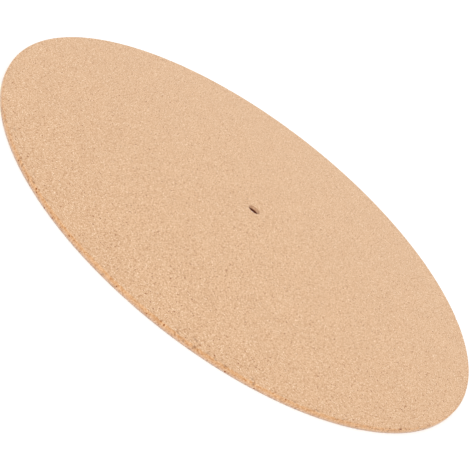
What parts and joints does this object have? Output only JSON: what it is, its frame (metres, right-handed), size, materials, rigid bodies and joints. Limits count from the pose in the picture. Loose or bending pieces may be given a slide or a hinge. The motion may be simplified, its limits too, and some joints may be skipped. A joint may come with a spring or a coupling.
{
  "type": "turntable platter mat",
  "caption": "Flat round mat of pressed cork for a record player's platter, with a small spindle hole through its centre and lightly rounded die-cut edges.",
  "frame": {"origin": "centre of the spindle hole on the underside, which is the face that lies on the platter", "axes": "+Z along the spindle, out of the face that carries the record; the mat is round, so +X and +Y are free"},
  "size_m": [0.3, 0.3, 0.003],
  "materials": {
    "cork": "matt agglomerated cork, fine pale granules with small dark specks, bare and unsealed"
  },
  "bodies": {
    "root": {"platter_mat": "cork"}
  },
  "joints": []
}
